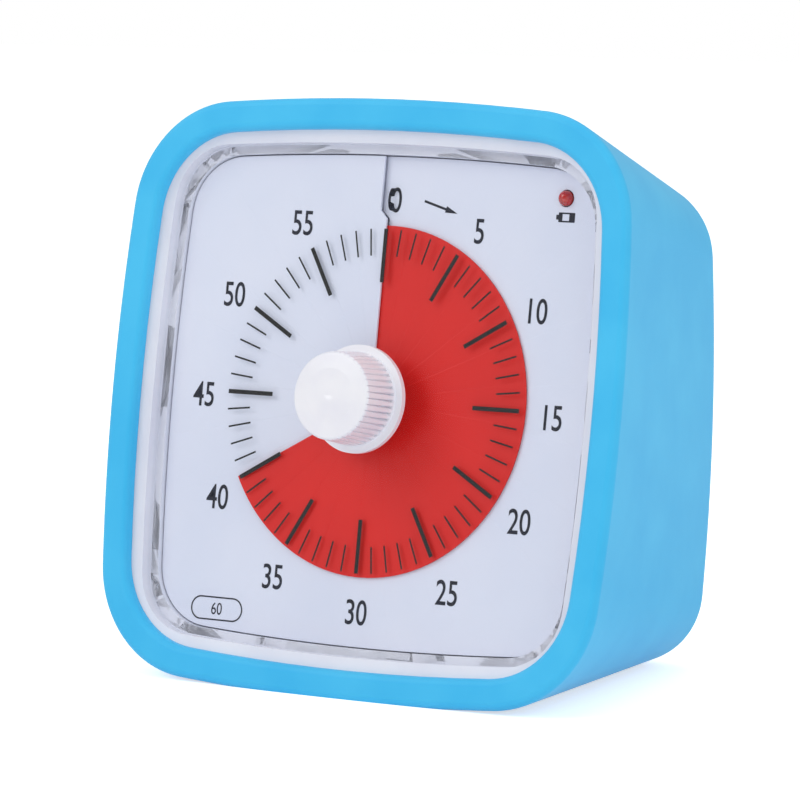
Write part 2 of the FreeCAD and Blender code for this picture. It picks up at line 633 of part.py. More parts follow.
def meshing_phase(pivot, other, teeth, other_teeth, other_phase):
    """The phase at which a gear's gap faces a tooth of the other gear, along their line of centres."""
    line = math.degrees(math.atan2(other[1] - pivot[1], other[0] - pivot[0]))
    back = line + 180
    ahead = (back - other_phase) / (360.0 / other_teeth)
    share = ahead - math.floor(ahead)
    return line + (share + 0.5) * 360.0 / teeth


def arbor(pivot, low, high):
    return cylinder(pivot[0], pivot[1], mm("arborRadius"), low, high)


def spokes(pivot, radius, low, high):
    """Four round lightening holes in a wheel's web."""
    holes = []
    for turn in range(4):
        angle = math.radians(45 + 90 * turn)
        holes.append(cylinder(pivot[0] + radius * math.cos(angle), pivot[1] + radius * math.sin(angle),
                              radius * 0.42, low - 1, high + 1))
    return holes


def make_wheels():
    """The five turning bodies of the train, each meshed with the next at rest."""
    thick = mm("wheelThickness")
    cap = -mm("capDepth") - 0.6
    base = BASE_LOW + 0.6
    stack = [
        ("centre_wheel", CENTRE_PIVOT, "centreModule", "centreTeeth", -10.3, None, None),
        ("third_wheel", THIRD_PIVOT, "thirdModule", "thirdTeeth", -12.3, "centreModule", -10.1),
        ("fourth_wheel", FOURTH_PIVOT, "fourthModule", "fourthTeeth", -14.1, "thirdModule", -12.1),
        ("fifth_wheel", FIFTH_PIVOT, "fifthModule", "fifthTeeth", -15.9, "fourthModule", -13.9)]
    made = []
    previous = None
    for label, pivot, module, teeth, top, pinion_module, pinion_top in stack:
        count = int(mm(teeth))
        pinion_phase = 0
        phase = 0
        parts = []
        if previous is not None:
            pinion_phase = meshing_phase(pivot, previous[0], PINION, previous[1], previous[2])
            parts.append(toothed(pivot, mm(pinion_module), PINION, pinion_phase, pinion_top - 1.2, pinion_top, None, 0.5))
            parts.append(arbor(pivot, cap, base))
        bore = mm("spindleRadius") + mm("runGap") if previous is None else None
        wheel = toothed(pivot, mm(module), count, phase, top - thick, top, bore)
        hub = mm(module) * count / 2
        for hole in spokes(pivot, hub * 0.55, top - thick, top):
            wheel = wheel.cut(hole)
        for part in parts:
            wheel = wheel.fuse(part)
        made.append(bring_in(label, wheel.removeSplitter(), FACE))
        previous = (pivot, count, phase)
    phase = meshing_phase(ROTOR_PIVOT, previous[0], PINION, previous[1], previous[2])
    rotor = toothed(ROTOR_PIVOT, mm("fifthModule"), PINION, phase, -16.9, -15.7, None, 0.5)
    rotor = rotor.fuse(arbor(ROTOR_PIVOT, cap, base))
    rotor = rotor.fuse(cylinder(ROTOR_PIVOT[0], ROTOR_PIVOT[1], mm("magnetRadius"), -15.1, -12.0))
    made.append(bring_in("rotor", rotor.removeSplitter(), FACE))
    return made


def pillar_places():
    return [(mm("pillarCircle") * math.cos(math.radians(a)), mm("pillarCircle") * math.sin(math.radians(a)))
            for a in (35, 125, -50, -115)]


def make_movement_base():
    """The movement's front plate with its round wall, pillars and front bearings."""
    low = BASE_LOW
    top = low + mm("plateThickness")
    radius = mm("movementRadius")
    cap = -mm("capDepth")
    base = cylinder(0, 0, radius, cap, top).cut(cylinder(0, 0, radius - mm("movementWall"), cap - 1, low))
    for x, y in pillar_places():
        base = base.fuse(cylinder(x, y, mm("pillarRadius"), cap, low + 0.1))
        base = base.cut(cylinder(x, y, 0.6, cap - 1, cap + 5))
    base = base.cut(cylinder(0, 0, mm("spindleRadius") + 0.08, low - 1, top + 1))
    for x, y in (THIRD_PIVOT, FOURTH_PIVOT, FIFTH_PIVOT, ROTOR_PIVOT):
        base = base.cut(cylinder(x, y, mm("arborRadius") + mm("runGap"), low - 1, top + 1))
    return bring_in("movement_base", base, FACE)


def make_movement_cap():
    """The movement's back plate with the back bearings."""
    top = -mm("capDepth") - 0.02
    low = top - mm("plateThickness")
    cap = cylinder(0, 0, mm("movementRadius"), low, top)
    for x, y in pillar_places():
        cap = cap.cut(cylinder(x, y, 0.8, low - 1, top + 1))
    cap = cap.cut(cylinder(0, 0, 1.0 + mm("runGap"), low - 1, top + 1))
    for x, y in (THIRD_PIVOT, FOURTH_PIVOT, FIFTH_PIVOT, ROTOR_PIVOT):
        cap = cap.cut(cylinder(x, y, mm("arborRadius") + mm("runGap"), low - 1, top + 1))
    return bring_in("movement_cap", cap, FACE)


def make_stepping_motor():
    """Stator plate, coil core, bobbin and winding round the rotor."""
    x, y = ROTOR_PIVOT
    rise = mm("coilRise")
    depth = mm("coilDepth")
    half = mm("coilLength") / 2
    stator = Part.makeBox(22.0, 7, 1, V(x - 8.8, y - 3.5, -14.3))
    ears = [Part.makeBox(4.2, rise, 1, V(at, y, -14.3)) for at in (x - 8.8, x + 9.0)]
    stator = stator.fuse(ears[0]).fuse(ears[1]).removeSplitter()
    stator = stator.cut(cylinder(x, y, mm("statorHole"), -15, -13))
    bring_in("stator", stator, FACE)
    core = Part.makeBox(22.0, 3, 1, V(x - 8.8, y + rise - 3.0, -15.32))
    bring_in("coil_core", core, FACE)
    middle = x + 2.2
    axis = V(1, 0, 0)
    centre_y = y + rise - 1.5
    window = Part.makeBox(30, 3.1, 1.1, V(x - 14, centre_y - 1.55, -15.37))
    tube = Part.makeCylinder(2.0, 2 * half, V(middle - half, centre_y, -depth), axis)
    flanges = [Part.makeCylinder(mm("coilRadius") + 0.3, 0.6, V(at, centre_y, -depth), axis)
               for at in (middle - half, middle + half - 0.6)]
    bobbin = tube.fuse(flanges[0]).fuse(flanges[1]).cut(window)
    bring_in("coil_bobbin", bobbin, FACE)
    winding = Part.makeCylinder(mm("coilRadius"), 2 * half - 1.2, V(middle - half + 0.6, centre_y, -depth), axis)
    winding = winding.cut(Part.makeCylinder(2.02, 3 * half, V(middle - 1.5 * half, centre_y, -depth), axis))
    bring_in("coil_winding", winding, FACE)


def make_contact_leaf():
    """The spring leaf that rides on the zero cam, and its post."""
    leaf = Part.makeBox(22.3, 0.25, 0.9, V(-0.5, 4.43, -13.3))
    post = Part.makeBox(2.2, 2.2, 4.6, V(19.7, 4.69, -14.4))
    bring_in("contact_leaf", leaf, FACE)
    bring_in("contact_post", post, FACE)


def make_screws(label, frame, places, head_top, head_radius, head_height, radius, length, inward):
    """A group of pan-head screws with a cross-slot, driven towards inward (+1 or -1 along z)."""
    screws = []
    for x, y in places:
        head = Part.makeCylinder(head_radius, head_height, V(x, y, head_top), V(0, 0, inward))
        shank = Part.makeCylinder(radius, length + head_height, V(x, y, head_top), V(0, 0, inward))
        slot = Part.makeBox(head_radius * 1.1, head_radius * 0.24, head_height, V(0, 0, 0))
        slot.translate(V(x - head_radius * 0.55, y - head_radius * 0.12, head_top - head_height / 2))
        cross = slot.copy()
        cross.rotate(V(x, y, 0), V(0, 0, 1), 90)
        screws.append(head.fuse(shank).cut(slot).cut(cross))
    return bring_in(label, Part.makeCompound(screws), frame)


# Back of the case, in the back frame

def make_back_cover():
    """The white back: tray, raised panel, battery well, switch slot, sounder holes and screw wells."""
    body = new_body("back_cover", BACK)
    inset = "dims.coverWall + dims.caseGap"
    inner = inset + " + dims.caseWall"

    def outline(height, drawn_in):
        return back_outline(new_sketch(body, "XY_Plane", height), height, drawn_in)

    loft(body, [outline("dims.backLip + 0.02", inset), outline("dims.splitHeight - 0.05", inset)])
    round_edges(body, lambda edge: abs(middle_of(edge).z - mm("backLip")) < 0.03, "dims.backEdge - dims.coverWall - 0.3")
    loft(body, [outline("dims.backPlate", inner), outline("dims.splitHeight", inner)], "SubtractiveLoft")
    pad(body, outline("dims.panelProud", "dims.panelInset"), "dims.backLip - dims.panelProud + 0.1")
    low = "dims.wellCentre - dims.wellRise"
    high = "dims.wellCentre + dims.wellRise"
    well = new_sketch(body, "XY_Plane", "dims.backLip")
    add_rectangle(well, "-dims.wellHalf - dims.wellWall", "dims.wellHalf + dims.wellWall",
                  low + " - dims.wellWall", high + " + dims.wellWall")
    pad(body, well, "dims.wellDeep + dims.wellWall")
    hollow = new_sketch(body, "XY_Plane", "dims.backLip + 0.3")
    add_rectangle(hollow, "-dims.wellHalf", "dims.wellHalf", low, high)
    pocket(body, hollow, "dims.wellDeep - 0.3", flip=True)
    mouth = new_sketch(body, "XY_Plane", "0")
    add_rectangle(mouth, "-dims.mouthHalf", "dims.mouthHalf", low, high)
    pocket(body, mouth, "4", flip=True)
    notch = new_sketch(body, "XY_Plane", "0")
    add_rectangle(notch, "-dims.latchHalf - 0.6", "dims.latchHalf + 0.6", "dims.wellCentre", high + " + 0.65")
    pocket(body, notch, "4.6", flip=True)
    recess = new_sketch(body, "XY_Plane", "0")
    side = "dims.doorHalf + dims.doorGap"
    add_rectangle(recess, "-(%s)" % side, side, "dims.wellCentre - dims.doorRise - dims.doorGap",
                  "dims.wellCentre + dims.doorRise + dims.doorGap")
    pocket(body, recess, "dims.panelProud + dims.doorThickness + 0.2", flip=True)
    bosses = new_sketch(body, "XY_Plane", "dims.backLip")
    places = screw_places()
    for x, y in places:
        add_circle(bosses, x, y, "dims.headRadius + 1.5")
    pad(body, bosses, "dims.splitHeight - dims.backLip - 0.05")
    posts = new_sketch(body, "XY_Plane", "dims.backLip")
    for x, y in board_screws():
        add_circle(posts, x, y, "2")
    pad(body, posts, "dims.boardLevel - dims.backLip")
    holes = new_sketch(body, "XY_Plane", "0")
    for x, y in places:
        add_circle(holes, x, y, "dims.screwRadius + 0.15")
    pocket(body, holes)
    heads = new_sketch(body, "XY_Plane", "0")
    for x, y in places:
        add_circle(heads, x, y, "dims.headRadius + 0.3")
    pocket(body, heads, "dims.headSeat", flip=True)
    sound = new_sketch(body, "XY_Plane", "0")
    add_circle(sound, "dims.sounderX", "dims.sounderY", "0.8")
    for ring, count in ((3.2, 6), (6.2, 12)):
        for turn in range(count):
            angle = 2 * math.pi * turn / count
            add_circle(sound, "dims.sounderX + %.4f" % (ring * math.cos(angle)),
                       "dims.sounderY + %.4f" % (ring * math.sin(angle)), "0.8")
    add_rectangle(sound, "dims.switchX - dims.slotHalf", "dims.switchX + dims.slotHalf",
                  "dims.switchY - dims.slotRise", "dims.switchY + dims.slotRise")
    pocket(body, sound, "4.5", flip=True)
    dish = new_sketch(body, "XY_Plane", "0")
    add_rectangle(dish, "dims.switchX - dims.slotHalf - 2", "dims.switchX + dims.slotHalf + 2",
                  "dims.switchY - dims.slotRise - 1.6", "dims.switchY + dims.slotRise + 1.6")
    pocket(body, dish, "1.4", flip=True)
    return body


def screw_places():
    return [(side + " * dims.screwX", rise) for side in ("-1", "1") for rise in ("dims.screwTop", "dims.screwBottom")]


def board_screws():
    return [("-22", "4"), ("22", "21.5"), ("-22", "21.5")]


def hinge_axis():
    """The door's hinge line in the back frame: y and z."""
    return mm("wellCentre") - mm("doorRise") + 0.8, mm("panelProud") + 0.8


def make_battery_door():
    """The door over the battery: a plate rounded about its hinge pins, with grip lines and a latch."""
    low = mm("wellCentre") - mm("doorRise")
    top = mm("wellCentre") + mm("doorRise")
    half = mm("doorHalf")
    y, z = hinge_axis()
    along = V(1, 0, 0)
    plate = Part.makeBox(2 * half, top - y, mm("doorThickness"), V(-half, y, mm("panelProud")))
    door = plate.fuse(Part.makeCylinder(0.8, 2 * half, V(-half, y, z), along))
    door = door.fuse(Part.makeCylinder(mm("pinRadius"), 2 * half + 2.4, V(-half - 1.2, y, z), along))
    latch = Part.makeBox(2 * mm("latchHalf"), 0.8, 2.2,
                         V(-mm("latchHalf"), top - 1.8, mm("panelProud") + mm("doorThickness") - 0.01))
    door = door.fuse(latch).removeSplitter()
    for line in range(5):
        groove = Part.makeBox(12, 0.5, 0.4, V(-6, top - 3.2 - 1.1 * line, mm("panelProud")))
        door = door.cut(groove)
    door = door.cut(Part.makeCylinder(2.6, 1.2, V(0, top + 1.0, mm("panelProud") - 0.6)))
    return bring_in("battery_door", door, BACK)


def drill_hinge(cover):
    """The pin holes of the door in the panel's side walls, cut from the finished cover."""
    y, z = hinge_axis()
    reach = mm("doorHalf") + 1.5
    pin = Part.makeCylinder(mm("pinRadius") + mm("runGap"), 2 * reach, V(-reach, y, z), V(1, 0, 0))
    tool = doc.addObject("Part::Feature", "hinge_tool")
    tool.Shape = pin
    tool.Placement = BACK
    cut = doc.addObject("Part::Cut", "back_cover_drilled")
    cut.Base = cover
    cut.Tool = tool
    return cut


def make_battery():
    """One AA cell lying across the back, its positive end on the left seen from the back."""
    radius = mm("cellRadius")
    length = mm("cellLength")
    z = mm("backLip") + 0.35 + radius
    start = V(-length / 2, mm("wellCentre"), z)
    along = V(1, 0, 0)
    can = Part.makeCylinder(radius, length - 1.6, start, along)
    nub = Part.makeCylinder(2.7, 1.6, start + along * (length - 1.6), along)
    cell = can.fuse(nub).removeSplitter()
    return bring_in("battery", cell, BACK)


def make_contacts():
    """The cell's coil spring and plate contacts, each with a tab up to the board."""
    z = mm("backLip") + 0.35 + mm("cellRadius")
    y = mm("wellCentre")
    half = mm("wellHalf")
    seat = Part.makeBox(0.4, 11, 11, V(-half + 0.02, y - 5.5, z - 5.5))
    bring_in("spring_plate", seat, BACK)
    start = -half + 0.42
    room = -mm("cellLength") / 2 - start
    coil = Part.makeCylinder(3.7, room, V(start, y, z), V(1, 0, 0))
    coil = coil.cut(Part.makeCylinder(3.1, room, V(start, y, z), V(1, 0, 0)))
    bring_in("battery_spring", coil, BACK)
    plate = Part.makeBox(0.4, 11, 11, V(half - 0.42, y - 5.5, z - 5.5))
    dimple = Part.makeCylinder(2.0, half - 0.42 - mm("cellLength") / 2, V(mm("cellLength") / 2, y, z), V(1, 0, 0))
    bring_in("battery_plate", plate.fuse(dimple), BACK)


def make_electronics():
    """Board, chip, crystal, sounder, slide switch and indicator lamp."""
    level = mm("boardLevel")
    board = Part.makeBox(49, 22.8, mm("boardThickness"), V(-24.5, 1.2, level))
    for x, y in board_screws():
        board = board.cut(cylinder(float(x), float(y), 0.9, level - 1, level + 3))
    bring_in("circuit_board", board, BACK)
    top = level + mm("boardThickness")
    chip = Part.makeBox(6, 5, 1.4, V(-3, 10, top))
    bring_in("timer_chip", chip, BACK)
    crystal = Part.makeCylinder(1.0, 6.0, V(6, 8, top + 1.0), V(1, 0, 0))
    bring_in("quartz_crystal", crystal, BACK)
    plate = mm("backLip") + 2.02
    sounder = cylinder(mm("sounderX"), mm("sounderY"), mm("sounderRadius"), plate, level - 0.3)
    sounder = sounder.cut(cylinder(mm("sounderX"), mm("sounderY"), 7.4, plate - 1, plate + 1.4))
    bring_in("sounder", sounder, BACK)
    x = mm("switchX")
    y = mm("switchY")
    shell = Part.makeBox(11, 5.6, level - plate - 0.02, V(x - 5.5, y - 2.8, plate))
    shell = shell.cut(Part.makeBox(9.2, 3.4, 2.6, V(x - 4.6, y - 1.7, plate - 0.1)))
    bring_in("switch_body", shell, BACK)
    half = mm("thumbHalf")
    foot = Part.makeBox(2 * half + 0.9, 3.0, 1.6, V(x - half - 0.45, y - 1.5, plate + 0.3))
    stem = Part.makeBox(2 * half, 2.6, plate + 0.35 - 0.5, V(x - half, y - 1.3, 0.5))
    slider = foot.fuse(stem).removeSplitter()
    for line in range(3):
        slider = slider.cut(Part.makeBox(0.4, 2.6, 0.4, V(x - 1.3 + 1.1 * line, y - 1.3, 0.5)))
    bring_in("switch_slider", slider, BACK)
    lamp_x = mm("lampX")
    lamp_y = mm("lampY")
    radius = mm("lampRadius")
    dome = Part.makeSphere(radius, V(lamp_x, lamp_y, -mm("flapDepth") + 0.05 - 0.75))
    lamp = dome.common(cylinder(lamp_x, lamp_y, radius, -mm("flapDepth") - 0.7, 0))
    lamp = lamp.fuse(cylinder(lamp_x, lamp_y, radius, -9.2, -mm("flapDepth") - 0.7))
    lamp = lamp.fuse(cylinder(lamp_x, lamp_y, 1.9, -11.4, -8.64)).removeSplitter()
    bring_in("battery_lamp", lamp, FACE)


def make_fasteners():
    places = [(sign * mm("screwX"), rise) for sign in (-1, 1) for rise in (mm("screwTop"), mm("screwBottom"))]
    make_screws("case_screws", BACK, places, mm("headSeat") - 1.3, mm("headRadius"), 1.3,
                mm("screwRadius") - 0.02, 12, 1)
    board = [(float(x), float(y)) for x, y in board_screws()]
    make_screws("board_screws", BACK, board, mm("boardLevel") + mm("boardThickness") + 1.0, 1.7, 1.0, 0.85, 1.2, -1)
    make_screws("movement_screws", FACE, pillar_places(), -mm("capDepth") - mm("plateThickness") - 1.03, 1.5, 1.0,
                0.58, 5.0, 1)


def is_sound(thing):
    return "Invalid" not in thing.State and "Error" not in thing.State


def build():
    cover = make_silicone_cover()
    housing = make_front_housing()
    make_lens()
    make_dial_card()
    make_dial_seat()
    make_red_disc()
    make_knob()
    make_spindle()
    make_clutch_spring()
    make_zero_cam()
    make_wheels()
    make_movement_base()
    make_movement_cap()
    make_stepping_motor()
    make_contact_leaf()
    back = drill_hinge(make_back_cover())
    make_battery_door()
    make_battery()
    make_contacts()
    make_electronics()
    make_fasteners()
    doc.recompute()
    return {"back_cover": back, "silicone_cover": cover, "front_housing": housing}


def collect(special):
    """Every sub-part by its name: bodies and features that stand for a piece."""
    parts = dict(special)
    for thing in doc.Objects:
        if thing.TypeId in ("PartDesign::Body", "Part::Feature") and thing.Label not in parts:
            if thing.Label != "hinge_tool":
                parts[thing.Label] = thing
    return parts


nodes = collect(build())
failed = [thing.Label for thing in doc.Objects if not is_sound(thing)]
failed += [name for name, thing in nodes.items() if thing.Shape.isNull() or not thing.Shape.isValid()]
if failed:
    raise SystemExit("failed: %s" % ", ".join(sorted(set(failed))))
os.makedirs("parts", exist_ok=True)
for name, thing in sorted(nodes.items()):
    thing.Shape.exportStep("parts/%s.step" % name)
box = FreeCAD.BoundBox()
for thing in nodes.values():
    for point in thing.Shape.tessellate(0.05)[0]:
        box.add(point)
print("nodes", len(nodes))
print("box %.3f %.3f | %.3f %.3f | %.3f %.3f" % (box.XMin, box.XMax, box.YMin, box.YMax, box.ZMin, box.ZMax))
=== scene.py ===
import json
import math
import bpy
import numpy as np
from mathutils import Matrix, Vector


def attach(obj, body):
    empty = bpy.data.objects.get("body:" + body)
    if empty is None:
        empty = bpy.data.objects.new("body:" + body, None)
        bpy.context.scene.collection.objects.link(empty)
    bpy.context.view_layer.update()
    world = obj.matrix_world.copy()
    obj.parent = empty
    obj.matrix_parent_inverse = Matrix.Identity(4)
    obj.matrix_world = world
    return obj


# Looks for a leaning cube timer: soft blue cover, white bezel, printed dial, red time disc, ribbed knob.
# Sizes are in millimetres in the dictionaries and turned into metres where a mesh is made.

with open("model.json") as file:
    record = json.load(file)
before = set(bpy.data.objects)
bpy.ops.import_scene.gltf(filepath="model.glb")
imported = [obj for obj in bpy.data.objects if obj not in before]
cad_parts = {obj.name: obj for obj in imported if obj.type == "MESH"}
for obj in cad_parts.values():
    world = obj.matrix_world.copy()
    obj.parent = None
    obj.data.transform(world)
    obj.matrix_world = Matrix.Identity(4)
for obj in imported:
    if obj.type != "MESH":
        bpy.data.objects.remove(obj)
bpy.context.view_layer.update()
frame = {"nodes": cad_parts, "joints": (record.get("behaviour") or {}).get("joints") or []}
nodes = frame["nodes"]
print("frame loaded:", len(nodes), "nodes")

mmToM = 0.001


# The face frame: origin in the middle of the front lip, x right, y up the face, z out of it.
# It is read from the knob's joint, which runs through that point along the inward normal.

knobJoint = next(j for j in frame["joints"] if j["name"] == "knob_turn")
faceOrigin = Vector(knobJoint["pos_m"])
faceOut = -Vector(knobJoint["axis"]).normalized()
faceRight = Vector((1, 0, 0))
faceUp = faceOut.cross(faceRight).normalized()
faceMatrix = Matrix((faceRight, faceUp, faceOut)).transposed().to_4x4()
faceMatrix.translation = faceOrigin

dial = {
    "flapDepth": 4.95,       # raised flap of the card, left of the slit, behind the lip plane
    "climb": 0.9,            # rise of the card in one turn
    "lensBack": 4.35,        # back face of the clear window, where the ticks are printed
    "tickOuter": 26.0,
    "majorInner": 17.9, "majorWidth": 0.66,
    "minorInner": 21.95, "minorWidth": 0.27,
    "inkThickness": 0.02, "inkGap": 0.01,
    "numberRing": 31.15, "numberHeight": 3.9, "numberSqueeze": 0.76, "numberWeight": 0.03,
    "numberLean": -0.65,     # the numbers' ring sits this much below the knob's axis
    "zeroShift": 0.44,       # the 0 stands this much right of the ring's top
    "figureShare": 0.73,     # height of the font's figures as a share of its size
    "slitLeft": -1.9, "slitRight": -0.5, "slitBend": 28,   # where the card's low side reaches left at the rim
}


def cardLevel(x, y):  # height of the card's face at a place: it rises evenly clockwise from the slit
    turn = np.arctan2(x, y) % (2 * math.pi)
    across = (np.asarray(x) > dial["slitLeft"]) & (np.asarray(x) < dial["slitRight"])
    turn = np.where(across & (np.asarray(y) > dial["slitBend"]), 0, turn)
    return -dial["flapDepth"] - dial["climb"] * (1 - turn / (2 * math.pi))


# Small helpers

def linearColour(hexCode):  # sRGB hex to the linear values that the shader takes
    channels = [int(hexCode[i:i + 2], 16) / 255 for i in (1, 3, 5)]
    lit = [c / 12.92 if c <= 0.04045 else ((c + 0.055) / 1.055) ** 2.4 for c in channels]
    return (*lit, 1)


def addNode(tree, kind, settings=None, links=None):  # a node with its settings and what feeds its sockets
    node = tree.nodes.new(kind)
    for key, value in (settings or {}).items():
        if isinstance(key, int) or key in node.inputs:
            node.inputs[key].default_value = value
        else:
            setattr(node, key, value)
    for key, source in (links or {}).items():
        tree.links.new(source, node.inputs[key])
    return node


def newMaterial(name):
    material = bpy.data.materials.new(name)
    material.use_nodes = True
    material.node_tree.nodes.clear()
    return material, material.node_tree


def colourRamp(tree, source, stops):  # stops are pairs of a place and a hex colour
    ramp = addNode(tree, "ShaderNodeValToRGB", links={"Fac": source})
    elements = ramp.color_ramp.elements
    while len(elements) < len(stops):
        elements.new(0.5)
    for element, (place, hexCode) in zip(elements, stops):
        element.position = place
        element.color = linearColour(hexCode)
    return ramp.outputs["Color"]


# Materials. Each entry says what the real finish is, its two close shades and its grain.

finishes = {
    # matt moulded silicone: soft wide highlight, faint clouding, a fine dusting of bumps
    "mouldedSilicone": {"low": "#38BEF4", "high": "#44C6F8", "cloudMm": 14, "grainMm": 0.5, "bump": 0.05,
                        "roughness": 0.55, "ior": 1.41, "sheen": 0.1},
    # satin moulded ABS: cool white, spark-eroded mould skin that breaks the highlight
    "satinAbs": {"low": "#E3E5F1", "high": "#E9EBF5", "cloudMm": 9, "grainMm": 0.35, "bump": 0.04,
                 "roughness": 0.42, "ior": 1.53, "sheen": 0},
    # glossy moulded ABS of the knob
    "glossAbs": {"low": "#F0F0F8", "high": "#F6F6FB", "cloudMm": 7, "grainMm": 0.3, "bump": 0.02,
                 "roughness": 0.32, "ior": 1.53, "sheen": 0},
    # calendered polystyrene sheet, printed: very even, faint fibre-free mottle
    "polystyreneCard": {"low": "#E2E6F6", "high": "#E8EBF9", "cloudMm": 22, "grainMm": 0.25, "bump": 0.015,
                        "roughness": 0.5, "ior": 1.55, "sheen": 0},
    # thin red polypropylene sheet, fine-grained on both sides
    "redPolypropylene": {"low": "#DE120A", "high": "#E4160C", "cloudMm": 16, "grainMm": 0.3, "bump": 0.02,
                         "roughness": 0.5, "ior": 1.49, "sheen": 0},
    # acetal gears: milky, slightly waxy
    "acetal": {"low": "#E4DFCF", "high": "#EFEBDD", "cloudMm": 3, "grainMm": 0.3, "bump": 0.02,
               "roughness": 0.35, "ior": 1.48, "sheen": 0},
    # black ABS with mould skin
    "blackAbs": {"low": "#17181B", "high": "#222327", "cloudMm": 5, "grainMm": 0.4, "bump": 0.05,
                 "roughness": 0.45, "ior": 1.53, "sheen": 0},
    # epoxy moulding compound of a chip
    "epoxyCompound": {"low": "#141415", "high": "#1E1E20", "cloudMm": 1, "grainMm": 0.15, "bump": 0.08,
                      "roughness": 0.7, "ior": 1.55, "sheen": 0},
    # screen-printed vinyl ink, near black with a navy cast
    "printedInk": {"low": "#0B0E1E", "high": "#10142A", "cloudMm": 2, "grainMm": 0.2, "bump": 0.02,
                   "roughness": 0.55, "ior": 1.5, "sheen": 0},
    # black ink of the ticks behind the window
    "tickInk": {"low": "#070708", "high": "#0C0C0E", "cloudMm": 2, "grainMm": 0.2, "bump": 0.02,
                "roughness": 0.6, "ior": 1.5, "sheen": 0},
    # sintered ferrite rotor magnet
    "sinteredFerrite": {"low": "#2A2B2E", "high": "#3A3B3F", "cloudMm": 0.8, "grainMm": 0.15, "bump": 0.1,
                        "roughness": 0.6, "ior": 2.2, "sheen": 0},
}


clouds = {"low": 0.35, "high": 0.65, "detail": 3, "grainDetail": 2, "bumpDepth": 0.0001}


def mouldedFinish(name):  # two close shades in slow clouds, and a fine bump worked out from its grain size
    look = finishes[name]
    material, tree = newMaterial(name)
    place = addNode(tree, "ShaderNodeTexCoord").outputs["Object"]
    cloudScale = 1 / (look["cloudMm"] * mmToM)
    cloud = addNode(tree, "ShaderNodeTexNoise", {"Scale": cloudScale, "Detail": clouds["detail"]},
                    {"Vector": place})
    shades = [(clouds["low"], look["low"]), (clouds["high"], look["high"])]
    colour = colourRamp(tree, cloud.outputs["Fac"], shades)
    grainScale = 1 / (look["grainMm"] * mmToM)
    grain = addNode(tree, "ShaderNodeTexNoise", {"Scale": grainScale, "Detail": clouds["grainDetail"]},
                    {"Vector": place})
    bump = addNode(tree, "ShaderNodeBump", {"Strength": look["bump"], "Distance": clouds["bumpDepth"]},
                   {"Height": grain.outputs["Fac"]})
    shader = addNode(tree, "ShaderNodeBsdfPrincipled",
                     {"Roughness": look["roughness"], "IOR": look["ior"], "Sheen Weight": look["sheen"]},
                     {"Base Color": colour, "Normal": bump.outputs["Normal"]})
    addNode(tree, "ShaderNodeOutputMaterial", links={"Surface": shader.outputs["BSDF"]})
    return material


metals = {
    # bright zinc plate on pressed or turned steel, with fine drawing lines
    "zincPlate": {"dark": "#A9ACB0", "light": "#C9CCD0", "lineMm": 0.12, "roughness": 0.3},
    # nickel plate on spring wire and cell contacts
    "nickelPlate": {"dark": "#B9B7AE", "light": "#D2D0C8", "lineMm": 0.15, "roughness": 0.22},
    # soft iron of the stator and coil core, as sheared
    "softIron": {"dark": "#7E8084", "light": "#A2A4A8", "lineMm": 0.2, "roughness": 0.42},
}


drawing = {"stretch": 0.05, "low": 0.3, "high": 0.7, "detail": 2, "bump": 0.05, "bumpDepth": 0.00005}


def metalFinish(name):  # long stretched noise gives drawing lines along x
    look = metals[name]
    material, tree = newMaterial(name)
    place = addNode(tree, "ShaderNodeTexCoord").outputs["Object"]
    lines = addNode(tree, "ShaderNodeMapping", {"Scale": (drawing["stretch"], 1, 1)}, {"Vector": place})
    lineScale = 1 / (look["lineMm"] * mmToM)
    noise = addNode(tree, "ShaderNodeTexNoise", {"Scale": lineScale, "Detail": drawing["detail"]},
                    {"Vector": lines.outputs["Vector"]})
    shades = [(drawing["low"], look["dark"]), (drawing["high"], look["light"])]
    colour = colourRamp(tree, noise.outputs["Fac"], shades)
    bump = addNode(tree, "ShaderNodeBump", {"Strength": drawing["bump"], "Distance": drawing["bumpDepth"]},
                   {"Height": noise.outputs["Fac"]})
    shader = addNode(tree, "ShaderNodeBsdfPrincipled", {"Metallic": 1.0, "Roughness": look["roughness"]},
                     {"Base Color": colour, "Normal": bump.outputs["Normal"]})
    addNode(tree, "ShaderNodeOutputMaterial", links={"Surface": shader.outputs["BSDF"]})
    return material


windowLook = {"tint": (0.985, 0.99, 0.995, 1), "roughness": 0.08, "shine": 0.004}


def clearWindow():  # thin acrylic: almost all light goes straight through, with a weak reflection on top
    material, tree = newMaterial("clearAcrylic")
    through = addNode(tree, "ShaderNodeBsdfTransparent", {"Color": windowLook["tint"]})
    shine = addNode(tree, "ShaderNodeBsdfGlossy",
                    {"Roughness": windowLook["roughness"], "Color": (1, 1, 1, 1)})
    mix = addNode(tree, "ShaderNodeMixShader", {"Fac": windowLook["shine"]},
                  {1: through.outputs["BSDF"], 2: shine.outputs["BSDF"]})
    addNode(tree, "ShaderNodeOutputMaterial", links={"Surface": mix.outputs["Shader"]})
    return material


lampLook = {"low": "#A80806", "high": "#D0140C", "cloudScale": 900.0, "roughness": 0.12, "ior": 1.55,
            "coat": 0.5}


